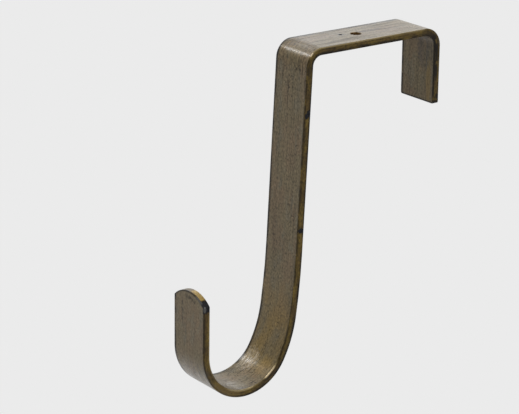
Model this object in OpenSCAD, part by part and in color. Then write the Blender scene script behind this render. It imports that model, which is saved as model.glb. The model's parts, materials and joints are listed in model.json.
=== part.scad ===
// Wreath hanger for a door: one flat metal strip, punched, cut round at one end and bent cold.
//
// +Z is up, the hook faces -Y, and X runs across the strip. The origin is the middle of the
// seat that rests on the top of the door, on the underside of the saddle.

/* [Strip] */
// Width of the strip
strip_w = 16; // [10:0.5:30]
// Thickness of the strip
strip_t = 2.4; // [1.6:0.1:4]
// Radius of the rounding along every edge
edge_r = 0.25; // [0.1:0.05:0.7]

/* [Saddle over the door] */
// Clear gap between the two legs, right under the saddle
door_gap = 49.3; // [30:0.1:80]
// Inside radius of the bend into the main leg
front_bend_r = 3.3; // [1:0.1:8]
// Angle of the bend into the main leg
front_bend_angle = 87.1; // [80:0.1:95]
// Inside radius of the bend into the back leg
back_bend_r = 4; // [1:0.1:8]
// Angle of the bend into the back leg
back_bend_angle = 89.8; // [80:0.1:95]

/* [Hole in the saddle] */
// Diameter of the punched hole
hole_d = 3.5; // [2:0.1:6]
// How far the hole stands in front of the middle of the gap
hole_forward = 1.6; // [-8:0.1:8]

/* [Back leg] */
// Straight length below the bend
back_leg = 19.2; // [10:0.5:60]
// Corner radius at the cut end
back_corner_r = 0.6; // [0.3:0.1:3]

/* [Main leg and hook] */
// Straight length between the bend and the hook
main_leg = 61; // [30:0.5:300]
// Inside radius of the slight bow that starts the hook
bow_r = 217; // [100:1:400]
// Angle of the bow
bow_angle = 5.5; // [2:0.1:10]
// Inside radius of the wide curve into the bowl
lead_r = 38; // [20:0.1:80]
// Angle of the wide curve
lead_angle = 20.6; // [10:0.1:35]
// Inside radius of the bowl, on the side of the main leg
bowl_r = 14.5; // [8:0.1:40]
// Angle of the bowl
bowl_angle = 80.5; // [70:0.1:100]
// Inside radius of the curve from the bowl up to the tip
lip_r = 14.2; // [8:0.1:40]
// Turn of the whole hook, from the main leg to the tip
hook_turn = 177.4; // [160:0.1:185]
// Straight length of the tip, to the top of its round end
tip = 20; // [12:0.1:60]
// How far the round end rises above its corners
tip_rise = 3.2; // [1:0.1:5]

/* [Hidden] */
finish = "#70624a";
half_w = strip_w / 2;
half_t = strip_t / 2;
lip_angle = hook_turn - bow_angle - lead_angle - bowl_angle;
tip_r = (half_w^2 + tip_rise^2) / (2 * tip_rise);
tip_clear = sqrt((half_w + edge_r)^2 - half_w^2);   // the round end's reach below its corners
back_clear = 2 * edge_r;                            // the same at the back leg's corners
bend_step = 6;     // degrees of bend between two sections
across_n = 12;     // flats across the strip, closer together near its edges
edge_n = 3;        // flats round each rounded edge
end_n = 3;         // sections in the rounding of an end
end_turn = 80;     // degrees to which an end is rounded before its flat cut
overcut = 1;

// A section's place is [y, z, heading]: the heading is 0 along +Y and 90 along +Z.
// A move is [length] for a straight run, or [radius, angle] for a bend on the middle of the
// strip, both positive when the strip turns left on its way from the back leg to the tip.
function left(heading) = [-sin(heading), cos(heading)];
function ahead(heading) = [cos(heading), sin(heading)];
function moved(place, run) =
    let (a = place[2], turn = len(run) == 2 ? run[1] : 0,
         shift = len(run) == 2 ? run[0] * (left(a) - left(a + turn)) : run[0] * ahead(a))
    [place[0] + shift[0], place[1] + shift[1], a + turn];

// The strip's sections along one move, without its first, and along a list of moves.
function share(run, k) = len(run) == 2 ? [run[0], run[1] * k] : [run[0] * k];
function steps(run) = len(run) == 2 ? ceil(abs(run[1]) / bend_step) : 1;
function along(place, run) = [for (k = [1:steps(run)]) moved(place, share(run, k / steps(run)))];
function route(place, runs, i = 0) = i == len(runs) ? []
    : concat(along(place, runs[i]), route(moved(place, runs[i]), runs, i + 1));

// The bends, from the back leg's end to the tip. The whole sections stop short of both ends,
// whose own shapes take up the rest.
back_bend = [back_bend_r + half_t, back_bend_angle];
saddle_back = [door_gap / 2 - back_bend_r, half_t, 180];
back_top = moved(saddle_back, [back_bend[0], -back_bend_angle]);
back_end = moved(back_top, [-back_leg]);
back_corner = moved(back_end, [back_corner_r]);
back_start = moved(back_corner, [back_clear]);
bends = [
    [back_leg - back_corner_r - back_clear],
    back_bend,
    [door_gap - front_bend_r - back_bend_r],
    [front_bend_r + half_t, front_bend_angle],
    [main_leg],
    [-bow_r - half_t, -bow_angle],
    [-lead_r - half_t, -lead_angle],
    [-bowl_r - half_t, -bowl_angle],
    [-lip_r - half_t, -lip_angle],
    [tip - tip_rise - tip_clear],
];
body = concat([back_start], route(back_start, bends));
tip_corner = moved(body[len(body) - 1], [tip_clear]);

// Upper half of a section as [x, height]. Its edges are rounded from turn to 90 degrees: all of
// the way along the strip, and less and less of it in the rounding of an end.
function edge_point(side, turn) =
    [side * (half_w - edge_r * (1 - sin(turn))), half_t - edge_r * (1 - cos(turn))];
function upper(turn) = concat(
    [for (k = [edge_n:-1:0]) edge_point(-1, turn + (90 - turn) * k / edge_n)],
    [for (k = [1:across_n - 1])
        [-edge_point(1, turn)[0] * cos(180 * k / across_n), edge_point(1, turn)[1]]],
    [for (k = [0:edge_n]) edge_point(1, turn + (90 - turn) * k / edge_n)]);

// How far each end's outline reaches past its corners at x, drawn in by its own rounding. An arc
// runs on straight down past its own side, along the edge of the strip.
function arc(radius, x) = x < radius ? sqrt(radius^2 - x^2) : radius - x;
function inset(turn) = edge_r * (1 - sin(turn));
function tip_reach(x, turn) = arc(tip_r - inset(turn), abs(x)) - tip_r + tip_rise;
function back_reach(x, turn) =
    arc(back_corner_r - inset(turn), max(0, abs(x) - half_w + back_corner_r));

// One closed ring of points round the strip.
function point(place, x, height, reach) =
    let (p = [place[0], place[1]] + reach * ahead(place[2]) + height * left(place[2]))
    [x, p[0], p[1]];
function ring(place, turn = 0, end = 0) =
    let (half = upper(turn),
         reach = [for (p = half)
             end > 0 ? tip_reach(p[0], turn) : end < 0 ? -back_reach(p[0], turn) : 0])
    concat([for (k = [0:len(half) - 1]) point(place, half[k][0], half[k][1], reach[k])],
           [for (k = [len(half) - 1:-1:0]) point(place, half[k][0], -half[k][1], reach[k])]);

module strip() {
    end_turns = [for (k = [0:end_n]) end_turn * k / end_n];
    rings = concat(
        [for (k = [end_n:-1:0]) ring(back_corner, end_turns[k], -1)],
        [for (place = body) ring(place)],
        [for (turn = end_turns) ring(tip_corner, turn, 1)]);
    n = len(rings[0]);
    last = (len(rings) - 1) * n;
    walls = [for (i = [0:len(rings) - 2], k = [0:n - 1])
        [i * n + k, i * n + (k + 1) % n, (i + 1) * n + (k + 1) % n, (i + 1) * n + k]];
    back_cut = [for (k = [0:n / 2 - 2]) [k, n - 1 - k, n - 2 - k, k + 1]];
    tip_cut = [for (k = [0:n / 2 - 2]) [last + k, last + k + 1, last + n - 2 - k, last + n - 1 - k]];
    polyhedron([for (r = rings) each r], concat(walls, back_cut, tip_cut));
}

// The whole hanger: the bent strip with its one punched hole.
module hanger() {
    color(finish)
        difference() {
            strip();
            translate([0, -hole_forward, -overcut])
                cylinder(d = hole_d, h = strip_t + 2 * overcut, $fn = 48);
        }
}

hanger();
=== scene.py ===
# A hanger that goes over a door and holds a wreath. Sizes are in metres, +Z is up, the hook
# faces -Y, and the origin is the middle of the seat that rests on the door's top edge.
import json
import math

import bpy
from mathutils import Matrix, Vector


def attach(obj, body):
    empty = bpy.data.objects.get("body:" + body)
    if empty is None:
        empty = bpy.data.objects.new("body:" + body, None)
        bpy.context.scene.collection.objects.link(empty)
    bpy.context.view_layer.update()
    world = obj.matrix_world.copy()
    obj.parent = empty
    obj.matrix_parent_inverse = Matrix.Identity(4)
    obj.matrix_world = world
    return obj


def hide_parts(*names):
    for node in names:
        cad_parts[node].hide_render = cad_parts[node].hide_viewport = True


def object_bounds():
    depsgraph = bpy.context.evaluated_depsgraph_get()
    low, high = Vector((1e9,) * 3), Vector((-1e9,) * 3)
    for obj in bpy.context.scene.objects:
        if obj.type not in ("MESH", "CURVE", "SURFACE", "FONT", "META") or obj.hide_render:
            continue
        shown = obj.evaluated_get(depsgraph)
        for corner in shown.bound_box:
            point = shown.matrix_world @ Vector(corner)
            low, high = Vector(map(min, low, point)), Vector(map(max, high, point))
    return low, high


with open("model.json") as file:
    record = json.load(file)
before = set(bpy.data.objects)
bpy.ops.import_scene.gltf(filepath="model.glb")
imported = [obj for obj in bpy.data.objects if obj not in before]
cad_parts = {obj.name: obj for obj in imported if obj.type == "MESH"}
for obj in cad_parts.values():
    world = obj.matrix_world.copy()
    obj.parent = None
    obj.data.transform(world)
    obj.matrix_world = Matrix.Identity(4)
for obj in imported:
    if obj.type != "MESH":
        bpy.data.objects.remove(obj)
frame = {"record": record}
cad_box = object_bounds()

# ---- The strip ------------------------------------------------------------------------
# One length of steel flat bar, cut square at one end and round at the other, punched once
# and tumbled, so that every edge is slightly round. It is bent cold round formers to hang
# over a door, and then brass plated, blackened, brushed and lacquered.
MM = 0.001
strip_width = 16.0 * MM
strip_thick = 2.4 * MM
edge_round = 0.25 * MM
tip_rise = 3.2 * MM
back_corner = 0.6 * MM
mounts = {mount["name"]: mount for mount in frame["record"]["mounts"]}
hole_radius = mounts["tag_hole"]["dims"]["r_mm"] * MM
hole_forward = -mounts["tag_hole"]["pos_m"][1]

# The bends from the back leg to the tip: a straight run is (length, 0), and a bend is
# (inside radius, degrees), with a minus where it turns away from the door.
door_gap = 49.3 * MM
front_bend_radius = 3.3 * MM
back_bend_radius = 4.0 * MM
saddle_run = door_gap - front_bend_radius - back_bend_radius
back_leg = (19.2 * MM, 0)
back_bend = (back_bend_radius, 89.8)
bends = [
    back_leg,
    back_bend,
    (saddle_run, 0),
    (front_bend_radius, 87.1),
    (61.0 * MM, 0),
    (217.0 * MM, -5.5),
    (38.0 * MM, -20.6),
    (14.5 * MM, -80.5),
    (14.2 * MM, -70.8),
    (20.0 * MM, 0),
]


def middle_radius(radius):
    return radius + strip_thick / 2


def run_length(size, degrees):
    return middle_radius(size) * math.radians(abs(degrees)) if degrees else size


strip_length = sum(run_length(size, degrees) for size, degrees in bends)
tip_radius = ((strip_width / 2) ** 2 + tip_rise**2) / (2 * tip_rise)
tip_centre = strip_length - tip_radius
saddle_start = run_length(*back_leg) + run_length(*back_bend)
hole_along = saddle_start + door_gap / 2 - back_bend_radius + hole_forward


def deselect():
    bpy.ops.object.select_all(action="DESELECT")


def pick(piece):
    deselect()
    piece.select_set(True)
    bpy.context.view_layer.objects.active = piece


def apply_modifier(piece, kind, **settings):
    pick(piece)
    modifier = piece.modifiers.new(kind.lower(), kind)
    for name, value in settings.items():
        setattr(modifier, name, value)
    bpy.ops.object.modifier_apply(modifier=modifier.name)


def take_away(piece, tool):
    apply_modifier(piece, "BOOLEAN", operation="DIFFERENCE", solver="EXACT", object=tool)
    bpy.data.objects.remove(tool)


def cut(place, normal, away=False):
    """One plane through the strip in edit mode: a new edge loop, or with away a cut-off."""
    bpy.ops.mesh.select_all(action="SELECT")
    bpy.ops.mesh.bisect(
        plane_co=place, plane_no=normal, use_fill=away, clear_outer=away, threshold=0.001 * MM
    )


# It is made flat: X runs along the strip from the back leg's end, Y through its thickness
# and Z across its width. The near side, which the camera sees, is at plus Z.
deselect()
bpy.ops.mesh.primitive_cube_add(size=1, location=(strip_length / 2, 0, 0))
strip = bpy.context.object
strip.name = "bent_strip"
strip.scale = (strip_length, strip_thick, strip_width)
bpy.ops.object.transform_apply(location=True, rotation=True, scale=True)

# Round end and the two small corners of the square end, each sheared by flats on its arc.
bpy.ops.object.mode_set(mode="EDIT")
tip_half_angle = math.asin(strip_width / 2 / tip_radius)
tip_flats = 28
for k in range(tip_flats):
    angle = tip_half_angle * (2 * (k + 0.5) / tip_flats - 1)
    normal = Vector((math.cos(angle), 0, math.sin(angle)))
    cut(Vector((tip_centre, 0, 0)) + tip_radius * normal, normal, away=True)
corner_flats = 5
for side in (-1, 1):
    centre = Vector((back_corner, 0, side * (strip_width / 2 - back_corner)))
    for k in range(corner_flats):
        angle = math.pi / 2 * (k + 0.5) / corner_flats
        normal = Vector((-math.cos(angle), 0, side * math.sin(angle)))
        cut(centre + back_corner * normal, normal, away=True)
bpy.ops.object.mode_set(mode="OBJECT")

# The punched hole, then the rounding of every edge, the hole's rims included.
bpy.ops.mesh.primitive_cylinder_add(
    vertices=64,
    radius=hole_radius,
    depth=3 * strip_thick,
    location=(hole_along, 0, 0),
    rotation=(math.pi / 2, 0, 0),
)
take_away(strip, bpy.context.object)
rounded_from = math.radians(50)
apply_modifier(
    strip, "BEVEL", width=edge_round, segments=4, limit_method="ANGLE", angle_limit=rounded_from
)

# The dents of its life: a punch mark in front of the hole and two nicks in the near side.
# Each is (along, through, across) of the ball that dents it, and the ball's radius.
dents = [
    (hole_along + 4.9 * MM, -strip_thick / 2 - 0.15 * MM, -1.6 * MM, 0.55 * MM),
    (91.3 * MM, 0.5 * MM, strip_width / 2 + 0.9 * MM, 1.2 * MM),
    (129.3 * MM, 0.6 * MM, strip_width / 2 + 0.7 * MM, 0.95 * MM),
]
for *middle, radius in dents:
    bpy.ops.mesh.primitive_ico_sphere_add(subdivisions=4, radius=radius, location=middle)
    take_away(strip, bpy.context.object)

# Edge loops across the strip, close together in the bends and few in the straight runs.
pick(strip)
bpy.ops.object.mode_set(mode="EDIT")
bend_loop_degrees = 2.5
straight_loop_gap = 12 * MM
run_start = 0.0
for size, degrees in bends:
    length = run_length(size, degrees)
    shares = abs(degrees) / bend_loop_degrees if degrees else length / straight_loop_gap
    loops = math.ceil(shares)
    for k in range(loops):
        place = run_start + length * k / loops
        if place > 0 and abs(place - hole_along) > hole_radius:
            cut((place, 0, 0), (1, 0, 0))
    run_start += length

# The dents' rims leave slivers that are too small to shade, and those are dissolved.
bpy.ops.mesh.select_all(action="SELECT")
bpy.ops.mesh.dissolve_degenerate(threshold=0.02 * MM)
bpy.ops.object.mode_set(mode="OBJECT")

# The flat place of every point is kept for the finish, which is brushed on along the strip.
flat_place = strip.data.attributes.new("flat_place", "FLOAT_VECTOR", "POINT")
flat_place.data.foreach_set("vector", [value for v in strip.data.vertices for value in v.co])


# The bending: the strip's middle follows one path in the plane of the door's section. The
# path's X and Y are the door's Y and Z.
def ahead(heading):
    return Vector((math.cos(heading), math.sin(heading)))


def left(heading):
    return Vector((-math.sin(heading), math.cos(heading)))


def bent(place, heading, size, degrees, back=False):
    """Where a run or bend that starts at place ends; back walks it the other way."""
    way = -1 if back else 1
    if not degrees:
        return place + way * size * ahead(heading), heading
    turn = way * math.radians(degrees)
    radius = math.copysign(middle_radius(size), degrees)
    return place + radius * (left(heading) - left(heading + turn)), heading + turn


place, heading = Vector((door_gap / 2 - back_bend_radius, strip_thick / 2)), math.pi
place, heading = bent(place, heading, *back_bend, back=True)
place, heading = bent(place, heading, *back_leg, back=True)
deselect()
bpy.ops.curve.primitive_bezier_curve_add()
path = bpy.context.object
path.data.dimensions = "2D"
path.data.fill_mode = "NONE"
path.data.resolution_u = 96
points = path.data.splines[0].bezier_points
points.add(len(bends) + 1 - len(points))
for point in points:
    point.handle_left_type = point.handle_right_type = "FREE"
for k, (size, degrees) in enumerate(bends):
    # A curve's handle of this reach follows the arc of the bend, or the straight run.
    turn = math.radians(abs(degrees))
    reach = 4 / 3 * math.tan(turn / 4) * middle_radius(size) if degrees else size / 3
    points[k].co = (*place, 0)
    points[k].handle_right = (*(place + reach * ahead(heading)), 0)
    place, heading = bent(place, heading, size, degrees)
    points[k + 1].co = (*place, 0)
    points[k + 1].handle_left = (*(place - reach * ahead(heading)), 0)
points[0].handle_left = 2 * points[0].co - points[0].handle_right
points[-1].handle_right = 2 * points[-1].co - points[-1].handle_left
apply_modifier(strip, "CURVE", object=path, deform_axis="POS_X")
bpy.data.objects.remove(path)
pick(strip)
strip.rotation_euler = (math.pi / 2, 0, math.pi / 2)
bpy.ops.object.transform_apply(location=True, rotation=True, scale=True)
smooth_below = math.radians(40)
bpy.ops.object.shade_smooth_by_angle(angle=smooth_below)
apply_modifier(strip, "WEIGHTED_NORMAL", mode="FACE_AREA", keep_sharp=True)

# The finish: blackening that is brushed through to the brass on faces and sides stays in
# scratches, in nicks and along the edges, and a thin clear lacquer lies over all of it.
# All its places and sizes are in millimetres on the flat strip.
olive_brown = (0.122, 0.097, 0.056, 1)
red_brown = (0.127, 0.093, 0.055, 1)
grey_brown = (0.118, 0.099, 0.064, 1)
worn_gold = (0.165, 0.112, 0.036, 1)
side_gold = (0.106, 0.071, 0.015, 1)
side_brown = (0.070, 0.045, 0.013, 1)
hole_brown = (0.170, 0.095, 0.030, 1)
bright_brass = (0.300, 0.205, 0.060, 1)
# Worn brass, and painted highlight on the round near edge.
edge_brass_and_highlight = (0.300, 0.235, 0.120, 1)
# Painted highlight for the glints.
painted_glint_colour = (0.620, 0.500, 0.330, 1)
# Painted highlight for the bowl.
painted_bowl_highlight = (0.330, 0.295, 0.235, 1)
umber = (0.022, 0.015, 0.008, 1)
# Bare steel on the rubbed rim, and painted sheen on the tip's near corner.
steel_grey_and_sheen = (0.100, 0.098, 0.095, 1)
slate = (0.034, 0.034, 0.038, 1)
blue_black = (0.007, 0.007, 0.009, 1)
black = (0.006, 0.005, 0.004, 1)

finish = bpy.data.materials.new("antique_brass")
finish.use_nodes = True
tree = finish.node_tree
surface = tree.nodes["Principled BSDF"]


def wire(kind, values, **settings):
    """Adds a node to tree: its settings, and a number or another node's output per socket."""
    made = tree.nodes.new(kind)
    for name, value in settings.items():
        setattr(made, name, value)
    for socket, value in values.items():
        if isinstance(value, bpy.types.NodeSocket):
            tree.links.new(value, made.inputs[socket])
        else:
            made.inputs[socket].default_value = value
    return made


def maths(operation, a, b=0.0):
    return wire("ShaderNodeMath", {0: a, 1: b}, operation=operation).outputs[0]


def vectors(operation, values, output=0):
    return wire("ShaderNodeVectorMath", values, operation=operation).outputs[output]


def total(first, *others):
    for other in others:
        first = maths("ADD", first, other)
    return first


def both(first, *others):
    for other in others:
        first = maths("MULTIPLY", first, other)
    return first


def either(first, *others):
    for other in others:
        first = maths("MAXIMUM", first, other)
    return first


def less(value, amount):
    return maths("SUBTRACT", value, amount)


def apart_from(mask):
    return less(1.0, mask)


def fade(value, start, end):
    """0 up to start and 1 from end on, or the other way round where end is below start."""
    ranges = {"Value": value, "From Min": start, "From Max": end}
    return wire("ShaderNodeMapRange", ranges, interpolation_type="SMOOTHSTEP").outputs[0]


def blend(mask, below, above, share=1.0):
    """The colour above over the one below, at the mask times its share."""
    mixed = wire("ShaderNodeMix", {0: both(mask, share), 6: below, 7: above}, data_type="RGBA")
    return mixed.outputs[2]


flat = wire("ShaderNodeAttribute", {}, attribute_name="flat_place").outputs["Vector"]
flat = vectors("SCALE", {0: flat, "Scale": 1 / MM})
along, through, across = wire("ShaderNodeSeparateXYZ", {0: flat}).outputs


def between(start, first, last, end):
    """1 from first to last along the strip, fading to 0 at start and at end."""
    return both(fade(along, start, first), fade(along, end, last))


def grain(length, width, detail=3.0, shift=0.0):
    """Noise from 0 to 1 whose spots are about length long on the strip and width wide."""
    stretch = {0: flat, 1: (1 / length, 1 / width, 1 / width), 2: (shift, shift, shift)}
    noise = {"Vector": vectors("MULTIPLY_ADD", stretch), "Scale": 1.0, "Detail": detail}
    return wire("ShaderNodeTexNoise", noise).outputs["Fac"]


def ripple(*sizes, **pattern):
    """The same noise from -0.5 to 0.5."""
    return less(grain(*sizes, **pattern), 0.5)


def how_far(place, reach):
    """Distance on the flat strip from a place, counted in the reach of each direction."""
    offset = vectors("DIVIDE", {0: vectors("SUBTRACT", {0: flat, 1: place}), 1: reach})
    return vectors("LENGTH", {0: offset}, "Value")


ragged = ripple(1.0, 0.6, detail=4.0)


def spot(place, reach, rag=1.2):
    """1 round a place, out to its reach, with a rim that is ragged by rag."""
    return fade(total(how_far(place, reach), both(ragged, rag)), 1.25, 0.85)


# Where a point lies: how deep it is under the faces, the sides and the round end, and on which
# stretch. The front face is on top of the saddle, in front on the main leg and inside the hook,
# and the back face is against the door and outside the hook. A reach of far_away leaves a
# direction out.
half_width, half_thick = strip_width / 2 / MM, strip_thick / 2 / MM
at_front, at_back, at_side = -half_thick, half_thick, half_width
tip_middle, hole_middle, hole_reach = tip_centre / MM, hole_along / MM, hole_radius / MM
far_away = 1000
face_depth = less(half_thick, maths("ABSOLUTE", through))
side_depth = less(half_width, maths("ABSOLUTE", across))
edge_depth = total(face_depth, side_depth)
tip_depth = less(tip_radius / MM, how_far((tip_middle, 0, 0), (1, far_away, 1)))
tip_depth = total(tip_depth, both(maths("LESS_THAN", along, tip_middle), far_away))
hole_depth = how_far((hole_middle, 0, 0), (hole_reach, far_away, hole_reach))
on_side = fade(side_depth, 0.32, 0.12)
on_rim = fade(tip_depth, 0.30, 0.12)
on_rim_edge = fade(total(face_depth, tip_depth), 0.65, 0.25)
in_hole = fade(hole_depth, 1.10, 0.98)
near_side = fade(across, 0, 1)
back_face = fade(through, -0.2, 0.4)
front_face = apart_from(back_face)
on_saddle = between(26, 30, 74, 79)
on_top = both(on_saddle, fade(along, 73, 67), front_face)
on_bend = between(67, 70, 76, 80)
below_bend = between(75, 77, 80, 94)
on_leg = between(78, 84, 168, 171)
inside_leg = both(back_face, fade(along, 150, 120))
on_hook = between(130, 150, 188, 196)
in_bowl = between(172, 175, 194, 200)
under_lip = both(between(193, 198, 206, 213), back_face)
on_lip = fade(along, 196, 204)
on_tip = fade(along, 200, 208)

# Slow changes of the patina, then the brush's lines, specks and scratches.
cloud = grain(12, 6)
tint = grain(5, 2.4, detail=4.0, shift=5.0)
dirty = fade(grain(16, 5, detail=2.0, shift=37.0), 0.42, 0.66)
bands = ripple(24, 1.6, shift=43.0)
lines = ripple(14, 0.26, shift=11.0)
long_lines = ripple(16, 0.40, shift=67.0)
top_lines = fade(grain(15, 0.45, shift=79.0), 0.54, 0.66)
fine = ripple(0.9, 0.60, shift=17.0)
specks = fade(grain(0.7, 0.5, shift=23.0), 0.58, 0.70)
scratches = fade(grain(8, 0.36, shift=31.0), 0.58, 0.70)
streaks = fade(grain(3, 0.55, shift=83.0), 0.38, 0.60)
patches = grain(3, 1.5, detail=4.0, shift=61.0)
blots = fade(grain(1.4, 1.1, detail=4.0, shift=89.0), 0.30, 0.62)
dots = fade(grain(1.4, 0.8, shift=71.0), 0.50, 0.58)
edge_patches = fade(grain(5, 1.5, detail=4.0, shift=53.0), 0.32, 0.54)

# Brushed faces, worn to gold on the hook, with a painted highlight in the bowl, and golden
# sides.
face_colour = blend(fade(cloud, 0.40, 0.64), olive_brown, red_brown)
face_colour = blend(fade(tint, 0.50, 0.68), face_colour, grey_brown)
hook_worn = both(between(142, 166, 174, 184), front_face, fade(cloud, 0.30, 0.60), 0.75)
bend_worn = both(spot((74, at_front, 0), (3.5, 1, 9)), 0.15)
face_colour = blend(either(hook_worn, bend_worn), face_colour, worn_gold)
# Painted highlight: pale streaks in the bowl where the left lamp is reflected; the lacquer is
# glossier on the same patch.
bowl_highlight_patch = both(spot((177.5, at_front, -4.5), (4.5, 1, 4.2), rag=2.0), streaks)
face_colour = blend(bowl_highlight_patch, face_colour, painted_bowl_highlight, share=0.38)
side_colour = blend(fade(tint, 0.40, 0.60), side_gold, side_brown)
colour = blend(either(on_side, on_rim), face_colour, side_colour)
colour = blend(in_hole, colour, hole_brown)
contrast = total(1.0, both(on_tip, -0.25), both(under_lip, 0.5), both(in_bowl, -0.15))
brushing = both(total(lines, both(fine, 2.4), bands), contrast)
brushing = total(brushing, both(long_lines, either(on_top, under_lip), 1.6))
# The tone is raised on the tip, and as painted light on the saddle's top and in the bowl.
tone = total(1.10, both(on_tip, 0.09), both(on_top, 0.06), both(in_bowl, 0.05), brushing)
# Painted shade: the faces inside the U, between the legs, are made darker.
tone = both(tone, apart_from(both(inside_leg, 0.22)))
colour = vectors("MULTIPLY", {0: colour, 1: tone})

# The near side is darker in places: on the back bend, below the front bend, along the hook,
# beside the bowl, below the lip and up the tip.
front_half, back_half = fade(through, 1.3, -0.3), fade(through, -0.7, 0.7)
dark_places = either(
    both(between(9, 14, 28, 31), 0.5),
    both(between(73.2, 74.5, 79, 86), front_half, 0.75),
    both(between(138, 158, 184, 190), back_half, 0.65),
    both(between(165, 171, 182, 186.5), 0.7),
    both(between(194, 200, 206, 214), 0.5),
    both(between(203, 209, 226, 229), back_half, 0.6),
)
dark_side = both(near_side, fade(side_depth, 0.60, 0.15), fade(patches, 0.30, 0.56))
colour = blend(both(dark_places, dark_side), colour, umber)

# Brass that wear has brought out: the near side under the bowl, the tip's rim, the near edge
# along the saddle, the bowl and the tip, which also carries painted highlight on its round
# edge, with a painted highlight glint at the front bend and one in the bowl, and the back leg's
# edge, beside a grey patch that the brush missed.
worn_bowl = spot((197, 0, at_side), (6, 3, 1), rag=0.8)
colour = blend(both(worn_bowl, on_side), colour, worn_gold, share=0.6)
brass_rim = both(on_rim, spot((232.4, 0, 3.0), (2, 3, 2.9), rag=0.6))
colour = blend(brass_rim, colour, bright_brass)
near_edge = both(near_side, front_face)
bowl_edge = both(in_bowl, apart_from(both(between(180, 181.5, 185, 187), 0.8)))
bowl_edge = both(bowl_edge, total(0.4, both(fade(along, 173, 176), 0.6)))
saddle_edge = both(on_saddle, fade(along, 75, 70), 0.6)
# The near edge is worn brass and also painted highlight where its edge is round.
brass_and_highlight_edge = both(either(saddle_edge, bowl_edge, both(on_tip, 0.7)), near_edge)
colour = blend(both(brass_and_highlight_edge, fade(edge_depth, 0.60, 0.25)), colour, edge_brass_and_highlight)
# The glints are painted highlights on the near edge, at the front bend and in the bowl.
bowl_glint = spot((177.9, 0, at_side), (2.6, 3, 1), rag=0.6)
bend_glint = spot((72.9, 0, at_side), (0.6, 3, 1), rag=0.5)
glint = both(either(bowl_glint, bend_glint), near_edge, fade(edge_depth, 0.42, 0.25))
colour = blend(glint, colour, painted_glint_colour, share=0.7)
leg_gold = spot((7, at_back, 5.6), (7, 1, 1.1))
colour = blend(leg_gold, colour, worn_gold, share=0.5)
leg_grey = both(spot((18, at_back, 3.5), (7, 1, 3.5)), fade(lines, -0.10, 0.10))
colour = blend(leg_grey, colour, slate, share=0.55)

# Grime in the brush's lines, then stains: a smudge under the tip's rim, a scratch on the tip,
# spots in the bowl and a dotted scratch behind the hole.
dirt = total(0.28, both(dirty, 0.4), both(below_bend, 0.5), both(in_bowl, 0.15))
grime = either(
    both(either(specks, scratches), dirt),
    both(fade(bands, 0.04, 0.20), total(0.2, both(on_top, 0.3))),
    both(top_lines, on_top, 0.6),
)
below_rim = total(tip_depth, -2.0, both(ragged, 3.0))
below_rim = fade(maths("ABSOLUTE", below_rim), 1.0, 0.3)
smudge = both(below_rim, blots, spot((231, at_back, 0.8), (5, 1, 2.8)), 0.85)
tip_scratch = both(spot((226, at_back, -3.6), (3.5, 1, 0.5), rag=1.8), blots, 0.6)
bowl_spots = both(spot((187, at_front, 6.4), (5.5, 1, 0.9), rag=1.4), dots, 0.85)
top_scratch = spot((hole_middle - 6.4, at_front, -1.1), (5, 1, 0.8), rag=1.6)
top_scratch = both(top_scratch, blots, 0.9)
stains = either(smudge, tip_scratch, bowl_spots, top_scratch)
colour = blend(either(grime, stains), colour, umber)

# Black left along the edges, wider on the far side, and on the back leg's near side and end.
far_face = apart_from(either(near_side, on_side))
near_back = both(near_side, back_face, either(on_saddle, on_hook))
edge_reach = total(0.75, both(far_face, total(0.75, both(on_top, 0.8))), both(near_back, 0.45))
on_edge = fade(maths("DIVIDE", edge_depth, edge_reach), 1.0, 0.35)
edge_share = either(back_face, apart_from(near_side), both(on_leg, 0.7))
edge_share = both(edge_share, apart_from(both(near_side, on_lip, 0.45)))
edge_black = either(both(on_edge, edge_share, edge_patches), both(on_rim_edge, back_face, 0.95))
leg_upper = both(between(7, 10, 23, 27), fade(patches, 0.30, 0.44), fade(through, -0.9, 0.1))
leg_lower = either(both(fade(along, 10, 5), fade(patches, 0.5, 0.62)), fade(along, 1.6, 0.8))
leg_end = fade(along, 0.8, 0.3)
leg_black = both(either(both(on_side, near_side), leg_end), either(leg_upper, leg_lower))
colour = blend(either(edge_black, leg_black), colour, black, share=0.9)

# Black in the nicks and at the tip's two corners, black in the punch mark as painted shade of
# its hollow, a painted sheen on the near corner, and bare steel where the rim beside it is
# rubbed.
near_corner = spot((230.4, 0, 7.6), (2.1, 3, 2.2), rag=0.9)
near_corner = both(near_corner, either(on_rim, on_side, on_edge))
far_corner = spot((230.0, at_back, -at_side), (0.9, 0.9, 0.8))
upper_nick = spot((91.2, 0.7, at_side), (1.2, 1.1, 1.2), rag=0.6)
upper_nick = either(upper_nick, spot((91.9, -0.3, at_side), (0.9, 0.7, 1), rag=0.6))
lower_nick = spot((129.3, 0.3, at_side), (0.7, 1.5, 0.7), rag=1.8)
# The punch mark's black is painted shade of its hollow.
punch_mark = spot((hole_middle + 4.9, at_front, -1.6), (0.95, 1, 0.8), rag=0.6)
dents_and_corners = either(near_corner, far_corner, upper_nick, lower_nick, punch_mark)
colour = blend(dents_and_corners, colour, blue_black)
# Painted sheen: a grey highlight on the black near corner.
corner_sheen = both(spot((229.5, 0.7, 7.9), (0.9, 0.5, 0.5), rag=0.6), 0.8)
rim_wear = both(spot((231.9, at_back, 5.2), (1.6, 1, 1.7)), on_rim_edge, back_face, 0.6)
colour = blend(either(corner_sheen, rim_wear), colour, steel_grey_and_sheen)
tree.links.new(colour, surface.inputs["Base Color"])

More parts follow.
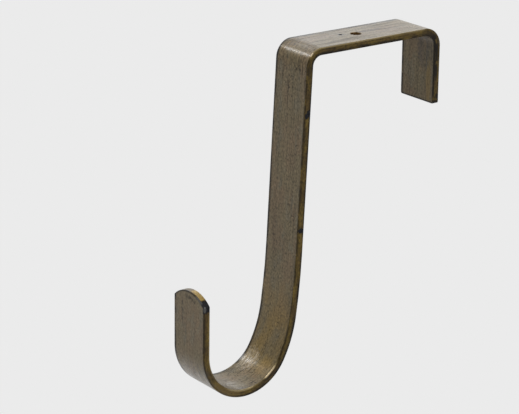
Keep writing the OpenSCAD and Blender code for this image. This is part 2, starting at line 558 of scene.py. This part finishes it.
# The metal's gloss and brushed relief.
surface.inputs["Metallic"].default_value = 1.0
roughness = total(0.42, both(lines, 0.25), both(grime, 0.25))
roughness = total(roughness, both(either(in_bowl, on_bend), front_face, 0.08))
tree.links.new(roughness, surface.inputs["Roughness"])
relief = less(total(lines, both(fine, 0.35)), both(either(grime, edge_black), 0.25))
bump = {"Height": relief, "Distance": 0.035 * MM, "Strength": 1.0}
tree.links.new(wire("ShaderNodeBump", bump).outputs[0], surface.inputs["Normal"])

# The lacquer, which is thin and glossier in the bowl, under the lip and on the bends.
bend_gloss = spot((72.4, at_front, 1.5), (1.6, 1, 7))
low_gloss = spot((194, at_front, 4), (7, 1, 4), rag=2.0)
near_bowl = spot((175, at_front, 5), (7, 1, 6.5), rag=2.0)
lacquer = total(0.22, both(near_bowl, -0.15), both(bend_gloss, 0.6), both(bowl_highlight_patch, 0.4))
lacquer = total(lacquer, both(either(low_gloss, under_lip), streaks, 0.5))
tree.links.new(lacquer, surface.inputs["Coat Weight"])
surface.inputs["Coat Roughness"].default_value = 0.23
surface.inputs["Coat IOR"].default_value = 1.5
bump = {"Height": lines, "Distance": 0.008 * MM, "Strength": 1.0}
tree.links.new(wire("ShaderNodeBump", bump).outputs[0], surface.inputs["Coat Normal"])

strip.data.materials.clear()
strip.data.materials.append(finish)
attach(strip, "root")
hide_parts("hanger")

# ---- The camera -----------------------------------------------------------------------
# It stands in front of the hook, to its right and a little above the saddle. The seat lies
# view_right to the right of its line of sight and view_up above it.
camera_azimuth = math.radians(53.341)
camera_elevation = math.radians(18.852)
camera_roll = math.radians(0.578)
camera_distance = 0.6700
view_right = 0.0317
view_up = 0.0529
camera_data = bpy.data.cameras.new("camera")
camera_data.sensor_width = 36
camera_data.lens = 146.57
camera_data.clip_start = 0.05
camera_data.clip_end = 20
camera = bpy.data.objects.new("camera", camera_data)
bpy.context.scene.collection.objects.link(camera)


def direction(azimuth, elevation):
    """Unit vector from the hanger: azimuth 0 is in front of the hook, 90 on its right."""
    level = math.cos(elevation)
    return Vector((math.sin(azimuth) * level, -math.cos(azimuth) * level, math.sin(elevation)))


back = direction(camera_azimuth, camera_elevation)
level_right = Vector((math.cos(camera_azimuth), math.sin(camera_azimuth), 0))
right = Matrix.Rotation(camera_roll, 3, back) @ level_right
up = back.cross(right)
stand = camera_distance * back - view_right * right - view_up * up
turned = Matrix((right, up, back)).transposed().to_4x4()
camera.matrix_world = Matrix.Translation(stand) @ turned
bpy.context.scene.camera = camera

# ---- Floor, world and lamps -----------------------------------------------------------
# A pale studio: the same light grey all round, which metal also shows in its reflections,
# and a paper floor far below the hanging piece.
pale = (0.831, 0.831, 0.831, 1)
floor_drop = 0.95
floor_radius = 3.0
deselect()
bpy.ops.mesh.primitive_circle_add(
    vertices=96, radius=floor_radius, fill_type="NGON", location=(0, 0, -floor_drop)
)
floor = bpy.context.object
floor.name = "floor"
paper = bpy.data.materials.new("pale_paper")
paper.use_nodes = True
tree = paper.node_tree
surface = tree.nodes["Principled BSDF"]
surface.inputs["Base Color"].default_value = pale
surface.inputs["Roughness"].default_value = 0.9
rays = wire("ShaderNodeLightPath", {}).outputs
seen = either(rays["Is Camera Ray"], rays["Is Glossy Ray"], rays["Is Transmission Ray"])
glow = wire("ShaderNodeEmission", {"Color": pale}).outputs[0]
shown = wire("ShaderNodeMixShader", {0: seen, 1: surface.outputs[0], 2: glow}).outputs[0]
tree.links.new(shown, tree.nodes["Material Output"].inputs["Surface"])
floor.data.materials.append(paper)

world = bpy.data.worlds.new("studio")
bpy.context.scene.world = world
world.use_nodes = True
world.node_tree.nodes["Background"].inputs["Color"].default_value = pale


# Three softboxes: a small one on the left in front, a wide one on the left a little behind
# and a square one high on the right.
def softbox(name, azimuth, elevation, distance, size, power):
    lamp = bpy.data.lights.new(name, "AREA")
    lamp.shape = "RECTANGLE"
    lamp.size, lamp.size_y = size
    lamp.energy = power
    towards = direction(math.radians(azimuth), math.radians(elevation))
    box = bpy.data.objects.new(name, lamp)
    box.location = hanger_middle + distance * towards
    box.rotation_euler = towards.to_track_quat("Z", "Y").to_euler()
    box.visible_camera = False
    bpy.context.scene.collection.objects.link(box)


hanger_middle = (Vector(cad_box[0]) + Vector(cad_box[1])) / 2
softbox("left_softbox", azimuth=-67, elevation=34, distance=0.8, size=(0.12, 0.12), power=0.5)
softbox("back_softbox", azimuth=-108, elevation=25, distance=1.1, size=(1.5, 0.7), power=3.3)
softbox("top_softbox", azimuth=90, elevation=72, distance=1.0, size=(1.2, 1.2), power=5.0)
bpy.context.scene.view_settings.view_transform = "Standard"
